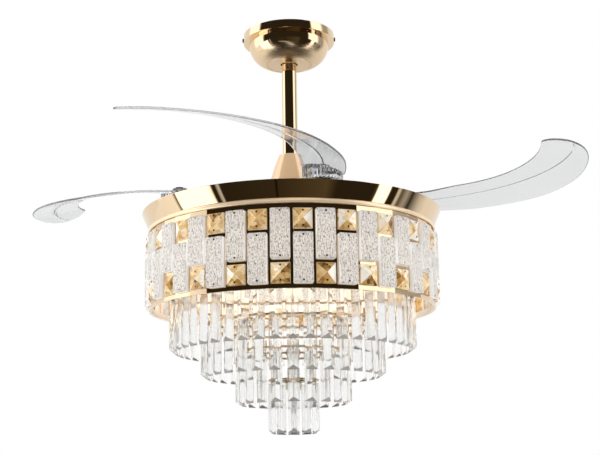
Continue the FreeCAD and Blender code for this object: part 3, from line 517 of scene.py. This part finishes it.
def blade_sheet():
    """Rows join the two sides at equal shares of their lengths, and columns run from the inner side over
    the rib to the outer. The centre line is an arc; height rises along it and falls across it with the
    pitch. The skins meet in a half circle at the edge, and the rib is a bell curve on the upper one."""
    at = (1 - np.cos(np.linspace(0, math.pi, BLADE_ROWS))) / 2 * (SIDE_POINTS - 1)
    outer, inner = ([np.interp(at, np.arange(SIDE_POINTS), side[:, axis])[:, None] for axis in (0, 1)]
                    for side in blade_sides())
    width = np.maximum(outer[1] - inner[1], 1e-6)
    rib_share = np.clip(-inner[1] / width, *RIB_LIMITS)
    steps = np.array(RIB_TO_EDGE)
    across = np.concatenate([-steps[:0:-1], steps])[None, :]
    mix = np.where(across < 0, rib_share * (1 + across), rib_share + (1 - rib_share) * across)
    along, side = (a + (b - a) * mix for a, b in zip(inner, outer))
    half_share = np.where(across < 0, rib_share, 1 - rib_share)
    reach = half_share * np.hypot(outer[0] - inner[0], outer[1] - inner[1])
    forward, behind = np.clip(along, 0, None), np.clip(along, None, 0)
    heading = ROOT_HEADING - forward / BEND_RADIUS
    x = PIVOT + BEND_RADIUS * (math.sin(ROOT_HEADING) - np.sin(heading)) + behind * math.cos(ROOT_HEADING)
    y = -BEND_RADIUS * (math.cos(ROOT_HEADING) - np.cos(heading)) + behind * math.sin(ROOT_HEADING)
    ease = np.clip((along / BLADE_LENGTH - TWIST_START) / TWIST_SHARE, 0, 1)
    pitch = np.radians(ROOT_PITCH + PITCH_GAIN * ease * ease * (3 - 2 * ease))
    middle = BLADE_LEVEL + BLADE_RISE * forward - side * np.tan(pitch)
    edge = (1 - np.abs(across)) * reach
    sheet = HALF_SHEET * np.sqrt(1 - (1 - np.clip(edge / HALF_SHEET, 0, 1)) ** 2)
    rib = RIB_HEIGHT * np.exp(-(across * reach / RIB_SPREAD) ** 2) * np.clip(reach / RIB_NEEDS - 1, 0, 1)
    plan = x - side * np.sin(heading), y + side * np.cos(heading)
    skins = [np.stack([*plan, middle + lift], -1).reshape(-1, 3) for lift in (sheet + rib, -sheet)]
    quads = net(*side.shape, False, False)
    return np.concatenate(skins) / 1000, np.concatenate([quads, quads[:, ::-1] + side.size])


def blade_boss():
    """Hexagon with a round bore: the outer radius follows the flats, the bore stays round."""
    angle = np.linspace(0, 2 * math.pi, BOSS_TURNS, endpoint=False)[:, None]
    flats = BOSS_HALF / np.cos((angle + math.pi / 6) % (math.pi / 3) - math.pi / 6)
    bore = BOSS_BORE + 0 * flats
    radius = np.concatenate([bore, flats - BOSS_BEVEL, flats, flats, flats - BOSS_BEVEL, bore], 1)
    lower, upper = BOSS_FOOT + BOSS_BEVEL, BOSS_HEAD - BOSS_BEVEL
    level = np.array([BOSS_FOOT, BOSS_FOOT, lower, upper, BOSS_HEAD, BOSS_HEAD])
    x, y = PIVOT + radius * np.cos(angle), radius * np.sin(angle)
    places = np.stack(np.broadcast_arrays(x, y, level), -1)
    return places.reshape(-1, 3) / 1000, net(*radius.shape)


def about_axis(places, degrees):
    """Points turned about Z by an angle, counted from X towards Y."""
    c, s = math.cos(math.radians(degrees)), math.sin(math.radians(degrees))
    return places @ np.array([[c, s, 0], [-s, c, 0], [0, 0, 1]])


sheet_places, sheet_quads = blade_sheet()
boss_places, boss_quads = blade_boss()
blade_places = np.concatenate([sheet_places, boss_places])
blade_faces = np.concatenate([sheet_quads, boss_quads + len(sheet_places)]).tolist()
for k in range(BLADE_COUNT):
    turned = about_axis(blade_places, FIRST_BLADE + 360 / BLADE_COUNT * k)
    piece(f"clear_blade_{k + 1}", turned, blade_faces, acrylic, f"folding_blade_{k + 1}",
          "clear_plastic", [f"blade_{k + 1}"], crease=50)

# Pan, band and bead
# The band is a rolled and polished gold cone standing on the satin motor pan, with a rounded bead on the
# pan's edge that hangs a little over the drum.
BAND_RADIUS, BAND_WAIST, BAND_SEAT, BAND_WALL, BAND_ROUND = 250.0, 237.2, 227.2, 1.5, 0.5
BAND_TOP, BAND_FOOT = -325.3, -352.7
BEAD_INNER, BEAD_EDGE, BEAD_SWELL, BEAD_FOOT = 237.61, 239.05, 240.5, -359.0
BEAD_LIP_RADIUS, BEAD_LIP_LEVEL = 236.0, -355.7
BAND_TURNS = 288
band_floor = BAND_FOOT + BAND_WALL
band = softened([(BAND_RADIUS, BAND_TOP), (BAND_WAIST, BAND_FOOT), (BAND_SEAT, BAND_FOOT),
                 (BAND_SEAT, band_floor), (BAND_WAIST - BAND_WALL, band_floor),
                 (BAND_RADIUS - BAND_WALL, BAND_TOP)], BAND_ROUND)
piece("band_shell", *lathe(band, BAND_TURNS), gold, "hanging", "gold", ["gold_band"])
bead_middle = (BEAD_SWELL, (BEAD_FOOT + BAND_FOOT) / 2)
bead_round = bend((BEAD_EDGE, BEAD_FOOT), bead_middle, (BEAD_EDGE, BAND_FOOT), steps=11)
bead_lip = [(BEAD_LIP_RADIUS, BAND_FOOT), (BEAD_LIP_RADIUS, BEAD_LIP_LEVEL), (BEAD_INNER, BEAD_LIP_LEVEL)]
bead = [(BEAD_INNER, BEAD_FOOT)] + bead_round + bead_lip
bead_gold = finish("bead_gold", (0.93, 0.73, 0.50), rough=(0.2, 0.3), grain=40, Metallic=0.4)
piece("bead_hoop", *lathe(bead, BAND_TURNS), bead_gold, "hanging", "gold", ["bead_ring"])
# A paler gold than the real polished plating, on the pan as painted light that brightens the drum's inside
brightened_satin_gold = finish("brightened_satin_gold", (0.95, 0.86, 0.72), rough=(0.3, 0.42), grain=40, Metallic=0.5)
dress(brightened_satin_gold, "motor_pan")

# Drum frame
# Two gold rings with 44 flats each, joined by upright bars behind the glass and short cross bars between
# a panel and a tile; four screws hold the upper ring to the pan. The sides in view are polished, and
# those that look inwards are satin and painted pale, painted light that brightens the inside of the drum.
FRAME_NODES = ("drum_top_ring", "drum_bottom_ring", "drum_posts", "drum_crossbars")
LOOKS_INWARD = -0.5
# Inward sides are paler than the gold outside: painted light that brightens the inside of the drum
brightened_inner_satin = finish("brightened_inner_satin", (0.86, 0.81, 0.76), rough=(0.3, 0.42), grain=40, Metallic=0.4)


def face_values(mesh, kind):
    """Normals or centres of a mesh's faces, one row each."""
    values = np.zeros(len(mesh.polygons) * 3)
    mesh.polygons.foreach_get(kind, values)
    return values.reshape(-1, 3)


def outward_share(mesh):
    """How far each face looks away from the Z axis: one straight out, minus one straight in."""
    normal, centre = (face_values(mesh, kind)[:, :2] for kind in ("normal", "center"))
    return (normal * centre).sum(1) / np.linalg.norm(centre, axis=1)


def second_finish(mesh, made, chosen):
    """Gives the chosen faces of a mesh a second material."""
    mesh.materials.append(made)
    mesh.polygons.foreach_set("material_index", chosen.astype(np.int32))


dress(gold, *FRAME_NODES, "ring_screws")
for name in FRAME_NODES:
    frame_mesh = nodes[name].data
    second_finish(frame_mesh, brightened_inner_satin, outward_share(frame_mesh) < LOOKS_INWARD)

# Glass panels
# Pressed clear glass with rounded corners and edges; the front is rippled with upright streaks and small
# bubbles, the sides are smooth. Each panel is pinned to the frame at its head and foot.
COLUMNS, DRUM = 44, 236.5
PIECE_WIDTH, PIECE_TOP, PIECE_BOTTOM = 29.42, -367.4, -480.8
PANEL_HEIGHT, PANEL_DEPTH, PANEL_CORNER = 76.6, 7.5, 2.4
EDGE_DEPTH, EDGE_REACH = 1.2, 1.1
# Shares of the half size at the edge, then the reach and the number of even shares between
EDGE_SHARES, SHARES_ACROSS, SHARES_UP = (-1, -0.985, -0.95, -0.91), (0.78, 13), (0.84, 21)
RIPPLES, RIPPLE_HEIGHT, RIPPLE_SINK, RIPPLE_SPAN, RIPPLE_SWAY = 4, 0.16, 0.45, 5, 0.9
# First value and step of the ripples' number across and of their sway's length
RIPPLE_NUMBER, NUMBER_STEP, SWAY_LENGTH, SWAY_STEP = 2, 1.7, 9, 3
GRAIN_SHARE, PIT_RELIEF = 0.55, 0.002
# Colours of the panels' fronts by height: painted shade, dark grey in the pits and white on the high
# grains
PIT_SHADE_TONES = ((0.40, (0.28, 0.24, 0.21)), (0.48, (0.80, 0.755, 0.70)), (0.545, (1, 0.99, 0.97)))
LOOKS_SIDEWAYS = 0.4


def drawn_noise(tree, place, stretch, scale, detail, roughness=0.5):
    """Cloudy value on coordinates that are stretched along some of their axes."""
    draw = tree.nodes.new("ShaderNodeMapping")
    draw.inputs["Scale"].default_value = stretch
    wire(tree, place, draw.inputs["Vector"])
    cloud = tree.nodes.new("ShaderNodeTexNoise")
    for socket, value in (("Scale", scale), ("Detail", detail), ("Roughness", roughness)):
        cloud.inputs[socket].default_value = value
    wire(tree, draw.outputs[0], cloud.inputs["Vector"])
    return cloud.outputs["Fac"]


def streaked_glass():
    """Glass with a rough sparkling face: fine grains and upright streaks on the panel's own map are mixed
    into one height, which gives the relief and a colour of painted shade, dark in the pits and white on
    top."""
    made = finish("streaked_glass", WHITE, rough=(0.12, 0.3), grain=500, Transmission_Weight=0.4, IOR=1.5)
    tree = made.node_tree
    shader = tree.nodes["Principled BSDF"]
    place = tree.nodes.new("ShaderNodeTexCoord").outputs["UV"]
    grains = drawn_noise(tree, place, (1.1, 0.55, 1), scale=15, detail=2, roughness=0.65)
    streaks = drawn_noise(tree, place, (4.2, 0.35, 1), scale=7, detail=3, roughness=0.65)
    streak_part = arithmetic(tree, "MULTIPLY", streaks, 1 - GRAIN_SHARE)
    height = arithmetic(tree, "MULTIPLY_ADD", grains, GRAIN_SHARE, streak_part)
    wire(tree, colour_ramp(tree, height, PIT_SHADE_TONES), shader.inputs["Base Color"])
    bump = tree.nodes.new("ShaderNodeBump")
    bump.inputs["Distance"].default_value = PIT_RELIEF
    wire(tree, height, bump.inputs["Height"])
    wire(tree, bump.outputs[0], shader.inputs["Normal"])
    return made


def panel_points():
    """Sideways, upward and outward lengths of the panels' fronts, by column, row and place in the row.
    Corners are pressed onto quarter circles and the front falls off in one round the edge. Sine ripples of
    four lengths run across it, each swaying with the height by a slower sine, with set phases."""
    edge = np.array(EDGE_SHARES)
    u, v = (np.concatenate([edge, np.linspace(-inner, inner, count), -edge[::-1]])
            for inner, count in (SHARES_ACROSS, SHARES_UP))
    u, v = u[None, None, :], v[None, :, None]
    half_u, half_v = PIECE_WIDTH / 2, PANEL_HEIGHT / 2
    x, y = u * half_u + 0 * v, v * half_v + 0 * u
    dx, dy = (np.clip(np.abs(a) - half + PANEL_CORNER, 0, None) for a, half in ((x, half_u), (y, half_v)))
    in_corner = dx * dy > 0
    squeeze = np.where(in_corner, np.maximum(dx, dy) / np.maximum(np.hypot(dx, dy), 1e-9), 1)
    x = np.where(in_corner, np.sign(x) * (half_u - PANEL_CORNER + dx * squeeze), x)
    y = np.where(in_corner, np.sign(y) * (half_v - PANEL_CORNER + dy * squeeze), y)
    from_edge = np.minimum((1 - np.abs(u)) * half_u + 0 * v, (1 - np.abs(v)) * half_v + 0 * u)
    fall = np.clip(from_edge / EDGE_REACH, 0, 1)
    phase = np.random.default_rng(7).uniform(0, 2 * math.pi, (RIPPLES, COLUMNS, 1, 1))
    ripple = 0
    for n in range(RIPPLES):
        sway = RIPPLE_SWAY * np.sin(y / (SWAY_LENGTH + SWAY_STEP * n) + phase[n - 1])
        number = RIPPLE_NUMBER + NUMBER_STEP * n
        ripple = ripple + RIPPLE_HEIGHT * np.sin(number * x / RIPPLE_SPAN + phase[n] + sway)
    rounded = PANEL_DEPTH - EDGE_DEPTH + EDGE_DEPTH * np.sqrt(1 - (1 - fall) ** 2)
    front = rounded - RIPPLE_SINK * fall + ripple * fall
    return x + 0 * ripple, y + 0 * ripple, front


def on_drum(outward, sideways, level):
    """Points in the columns' own directions, put round the drum; the first axis counts the columns."""
    angle = np.radians(-90 + 360 / COLUMNS * (np.arange(COLUMNS) + 0.5))
    angle = angle.reshape(-1, *[1] * (outward.ndim - 1))
    c, s = np.cos(angle), np.sin(angle)
    places = np.stack([outward * c - sideways * s, outward * s + sideways * c, level], -1)
    return places.reshape(-1, 3) / 1000


def slab_faces(rows, columns):
    """Quads of every column's front and back grids and of the wall that joins their edges; the points of
    all fronts come first."""
    points = rows * columns
    back = points * COLUMNS
    number = np.arange(points).reshape(rows, columns)
    edge = np.concatenate([number[0], number[1:, -1], number[-1, -2::-1], number[-2:0:-1, 0]])
    onward = np.roll(edge, -1)
    wall = np.stack([edge, onward, onward + back, edge + back], -1)
    grid = net(rows, columns, False, False)
    slab = np.concatenate([grid, grid[:, ::-1] + back, wall])
    return (slab + (np.arange(COLUMNS) * points)[:, None, None]).reshape(-1, 4).tolist()


def map_round_drum(mesh):
    """Map of a mesh on the drum, in piece widths: arc length plus distance from the axis, and level."""
    where = np.zeros(len(mesh.vertices) * 3)
    mesh.vertices.foreach_get("co", where)
    x, y, z = where.reshape(-1, 3).T * 1000
    flat = np.stack([np.arctan2(y, x) * DRUM + np.hypot(x, y), z], -1) / PIECE_WIDTH
    corner_of = np.zeros(len(mesh.loops), int)
    mesh.loops.foreach_get("vertex_index", corner_of)
    mesh.uv_layers.new(name="face_map").data.foreach_set("uv", flat[corner_of].ravel())


panel_side, panel_up, panel_front = panel_points()
even = (np.arange(COLUMNS) % 2 == 0).reshape(-1, 1, 1)
panel_level = np.where(even, PIECE_BOTTOM + PANEL_HEIGHT / 2, PIECE_TOP - PANEL_HEIGHT / 2) + panel_up
front_skin = on_drum(DRUM + panel_front, panel_side, panel_level)
back_skin = on_drum(DRUM + 0 * panel_front, panel_side, panel_level)
panel_places = np.concatenate([front_skin, back_skin])
panels = piece("streaked_panels", panel_places, slab_faces(*panel_side.shape[1:]), streaked_glass(),
               "hanging", "glass", ["glass_panels"], crease=40)
map_round_drum(panels.data)
# The panels' sides: nearly white glass with a faint painted glow from emission, though they are no lamp
glowing_clear_edge = finish("glowing_clear_edge", (0.99, 0.99, 0.98), rough=(0.15, 0.3), grain=200,
                    Transmission_Weight=0.3, IOR=1.3, Emission_Color=(1.0, 0.97, 0.93, 1),
                    Emission_Strength=0.2)
second_finish(panels.data, glowing_clear_edge, np.abs(outward_share(panels.data)) < LOOKS_SIDEWAYS)

# Amber tiles
# Pressed honey coloured glass, a low four sided pyramid with narrow ground ridges on a square base. Tiles
# fill the columns above or below the panels and are pinned in the same way.
TILE_HEIGHT, TILE_EDGE, TILE_DEPTH, TILE_CORNERS, TILE_CUT = 31.4, 2.5, 8.0, 8, 0.95
# Depth of each loop of corners and its share of the base
TILE_LOOPS = ((0, 1), (TILE_EDGE - 0.5, 1), (TILE_EDGE, 0.965), (TILE_DEPTH - 0.2, 0.05), (TILE_DEPTH, 0))
# Tile colours: amber of the glass itself, with painted shade at the dark end and painted reflection at the
# white
HONEY_AND_FACET_LIGHT_TONES = ((0.0, (0.10, 0.045, 0.012)), (0.3, (0.62, 0.35, 0.11)), (0.6, (0.94, 0.71, 0.37)),
               (1.0, (1.0, 0.98, 0.92)))
SHARDS, SHARD_GLINT_SWING = 150, 0.6
SIDE_LIGHT_LEVELS, RIDGE_SHADE_AND_GLINT = (0.15, 1.0), (0.02, 1.0)


def facet_glass():
    """Honey glass whose facets each keep one level of painted reflection and shade, dark through amber to
    nearly white, broken into shards of painted glints: the facet's own value with a share of each shard's
    random value round the middle."""
    made = finish("amber_glass", WHITE, rough=(0.03, 0.08), grain=160, Transmission_Weight=0.25, IOR=1.52)
    tree = made.node_tree
    painted_facet_light = tree.nodes.new("ShaderNodeAttribute")
    painted_facet_light.attribute_name = "painted_facet_light"
    shard = tree.nodes.new("ShaderNodeTexVoronoi")
    shard.distance = "MANHATTAN"
    shard.inputs["Scale"].default_value = SHARDS
    wire(tree, tree.nodes.new("ShaderNodeTexCoord").outputs["Object"], shard.inputs["Vector"])
    off_middle = arithmetic(tree, "SUBTRACT", shard.outputs["Color"], 0.5)
    value = arithmetic(tree, "MULTIPLY_ADD", off_middle, SHARD_GLINT_SWING, painted_facet_light.outputs["Fac"])
    wire(tree, colour_ramp(tree, value, HONEY_AND_FACET_LIGHT_TONES), tree.nodes["Principled BSDF"].inputs["Base Color"])
    return made


def tile_points():
    """Loops of eight corners, a square with its corners cut, drawn in from the base to the tip; every
    other tile stands at the foot of the drum."""
    across = np.array([-TILE_CUT, TILE_CUT, 1, 1, TILE_CUT, -TILE_CUT, -1, -1])
    upward = np.roll(across, 2)
    level, spread = (np.array(values)[:, None] for values in zip(*TILE_LOOPS))
    middle = np.where(even, PIECE_TOP - TILE_HEIGHT / 2, PIECE_BOTTOM + TILE_HEIGHT / 2)
    height = middle + upward * TILE_HEIGHT / 2 * spread
    return on_drum(*np.broadcast_arrays(DRUM + level, across * PIECE_WIDTH / 2 * spread, height))


def repeated(points, total, *kinds):
    """Corner lists for a row of like pieces with so many points each. Every kind holds one piece's faces
    with one number of corners, and their numbers are counted on from piece to piece."""
    rows = [(np.array(faces) + points * np.arange(total)[:, None, None]).tolist() for faces in kinds]
    return [face for one_piece in zip(*rows) for faces in one_piece for face in faces]


tile_sides = net(len(TILE_LOOPS), TILE_CORNERS, False, True)
tile_base = [np.arange(TILE_CORNERS)]
tile_faces = repeated(len(TILE_LOOPS) * TILE_CORNERS, COLUMNS, tile_sides, tile_base)
tiles = piece("faceted_tiles", tile_points(), tile_faces, facet_glass(), "hanging", "amber_glass",
              ["amber_tiles"], crease=3)
# Each facet gets a random level of painted reflection and shade; the corner ridges get painted shade lines
# and glints
ridges = slice(2 * TILE_CORNERS + 1, 3 * TILE_CORNERS, 2)
chance = np.random.default_rng(21)
facet_light_levels = chance.uniform(*SIDE_LIGHT_LEVELS, (COLUMNS, len(tile_sides) + len(tile_base)))
facet_light_levels[:, ridges] = chance.choice(RIDGE_SHADE_AND_GLINT, (COLUMNS, TILE_CORNERS // 2))
tiles.data.attributes.new("painted_facet_light", "FLOAT", "FACE").data.foreach_set("value", facet_light_levels.ravel())

# Piece pins
# A small domed pin of darkened brass goes through the head and the foot of every panel and tile and holds
# it to the frame behind.
PIN_INSET, PIN_SEAT, PIN_SIDES = 4.2, 6.6, 8
PINS_PER_COLUMN = 4
# Radius and height of each loop of a pin's head
PIN_DOME = ((1.7, 0.0), (1.5, 0.7), (0.0, 1.0))


def pin_points():
    """Four domes to a column, each an outline of (radius, height) carried round the pin's own axis."""
    upper = np.where(even.ravel(), TILE_HEIGHT, PANEL_HEIGHT)
    lower = PANEL_HEIGHT + TILE_HEIGHT - upper
    inset = PIN_INSET + 0 * upper
    level = np.stack([PIECE_TOP - inset, PIECE_TOP - upper + inset,
                      PIECE_BOTTOM + lower - inset, PIECE_BOTTOM + inset], -1)[:, :, None, None]
    angle = np.linspace(0, 2 * math.pi, PIN_SIDES, endpoint=False)[:, None]
    radius, rise = np.array(PIN_DOME).T
    outward = DRUM + PIN_SEAT + rise
    return on_drum(*np.broadcast_arrays(outward, radius * np.cos(angle), level + radius * np.sin(angle)))


pin_sides = net(PIN_SIDES, len(PIN_DOME), True, False)
pin_faces = repeated(PIN_SIDES * len(PIN_DOME), COLUMNS * PINS_PER_COLUMN, pin_sides)
pin_gold = finish("aged_pin", (0.42, 0.30, 0.20), rough=(0.15, 0.3), grain=200, Metallic=1.0)
piece("piece_pins", pin_points(), pin_faces, pin_gold, "hanging", "gold", crease=60)

# Lamps
# Six candle bulbs in gold holders hang point down from the pan; they are lit and show through the glass
# as warm flecks. The stem below the coupling nut carries the prism tiers.
BULB_LIGHT_PLACE, BULB_LIGHT_POWER, BULB_LIGHT_RADIUS = (0, 0, -0.43), 4.6, 0.12
BULB_LIGHT_COLOUR = (1.0, 0.97, 0.93)
glowing = finish("lit_bulb", (0.92, 0.86, 0.76), rough=(0.2, 0.3), grain=60, Transmission_Weight=0.9,
                 Emission_Color=(1.0, 0.93, 0.82, 1), Emission_Strength=0.2)
dress(glowing, "bulbs")
bulb_light = unseen_lamp("bulb_light", "POINT", BULB_LIGHT_PLACE, BULB_LIGHT_POWER)
bulb_light.data.shadow_soft_size = BULB_LIGHT_RADIUS
bulb_light.data.color = BULB_LIGHT_COLOUR
dress(brightened_satin_gold, "lamp_holders", "coupling_nut", "stem", "stem_nut")

# Prism tiers
# Long three sided crystals with a slanted matt foot hang by gold hooks from four rings, each smaller and
# lower than the last; their long edges are ground to narrow flats.
# Radius of each ring, number of its prisms and level of their heads
TIERS = ((203.6, 48, -476), (152.3, 32, -517), (95.4, 20, -561), (44.0, 10, -607))
PRISM_HALF, PRISM_LENGTH, FOOT_SLANT = 10, 80, 6.5
GROUND_FLAT, GROUND_SIDE = 0.8, 0.48
HEAD_BEVEL, HEAD_SHARE = 0.7, 0.93
# Stretch of the prisms' streaks and their colours: slightly grey bands of painted shade on white
STREAK_DRAW, STREAK_SHADE_TONES = (330, 330, 5), ((0.32, (0.95, 0.95, 0.9405)), (0.46, (1.0, 1.0, 0.99)))
LOOKS_DOWN = -0.3
tier_gold = finish("tier_gold", (0.50, 0.37, 0.21), rough=(0.05, 0.12), grain=60, Metallic=1.0)
ground_foot = finish("ground_foot", (0.30, 0.285, 0.27), rough=(0.1, 0.25), grain=300, spread=0.5,
                     Transmission_Weight=0.15)
dress(tier_gold, *(f"tier_{k + 1}_frame" for k in range(len(TIERS))), "prism_hooks")


def crystal_glass():
    """Clear glass with soft upright streaks of painted shade, greyer bands like those refracted light
    makes in
    long prisms: cloudy bands drawn out along Z.
    """
    made = finish("crystal", WHITE, rough=(0.01, 0.04), grain=40, Transmission_Weight=0.94, IOR=1.45,
                  Specular_IOR_Level=0.1)
    tree = made.node_tree
    shader = tree.nodes["Principled BSDF"]
    place = tree.nodes.new("ShaderNodeTexCoord").outputs["Object"]
    streaks = drawn_noise(tree, place, STREAK_DRAW, scale=1, detail=3)
    wire(tree, colour_ramp(tree, streaks, STREAK_SHADE_TONES), shader.inputs["Base Color"])
    return made


def prism_ring(radius, total, top):
    """Three sided bars with ground edges round a ring: six plan corners, with a foot loop that rises
    towards the ridge in front, a head loop and a smaller loop for the head's bevel."""
    back, ridge = radius - PRISM_HALF, radius - GROUND_SIDE
    near, flat = PRISM_HALF - GROUND_FLAT, PRISM_HALF - GROUND_SIDE
    plan = np.array([(back, -near), (back + GROUND_FLAT, -flat), (ridge, -GROUND_SIDE),
                     (ridge, GROUND_SIDE), (back + GROUND_FLAT, flat), (back, near)])
    middle = plan.mean(0)
    bevelled = middle + (plan - middle) * HEAD_SHARE
    foot = top - PRISM_LENGTH + FOOT_SLANT * (plan[:, 0] - back) / PRISM_HALF
    outward, sideways = np.stack([plan, plan, bevelled]).transpose(2, 0, 1)
    level = np.stack([foot, 0 * foot + top - HEAD_BEVEL, 0 * foot + top])
    angle = np.radians(-90 + 360 / total * np.arange(total))[:, None, None]
    x = outward * np.cos(angle) - sideways * np.sin(angle)
    y = outward * np.sin(angle) + sideways * np.cos(angle)
    places = np.stack(np.broadcast_arrays(x, y, level), -1).reshape(-1, 3) / 1000
    number = np.arange(level.size).reshape(level.shape)
    return places, repeated(level.size, total, net(*level.shape, False, True), number[[0, -1]])


crystal = crystal_glass()
for k, tier in enumerate(TIERS):
    prisms = piece(f"crystal_tier_{k + 1}", *prism_ring(*tier), crystal, "hanging", "crystal",
                   [f"tier_{k + 1}_prisms"], crease=5)
    second_finish(prisms.data, ground_foot, face_values(prisms.data, "normal")[:, 2] < LOOKS_DOWN)
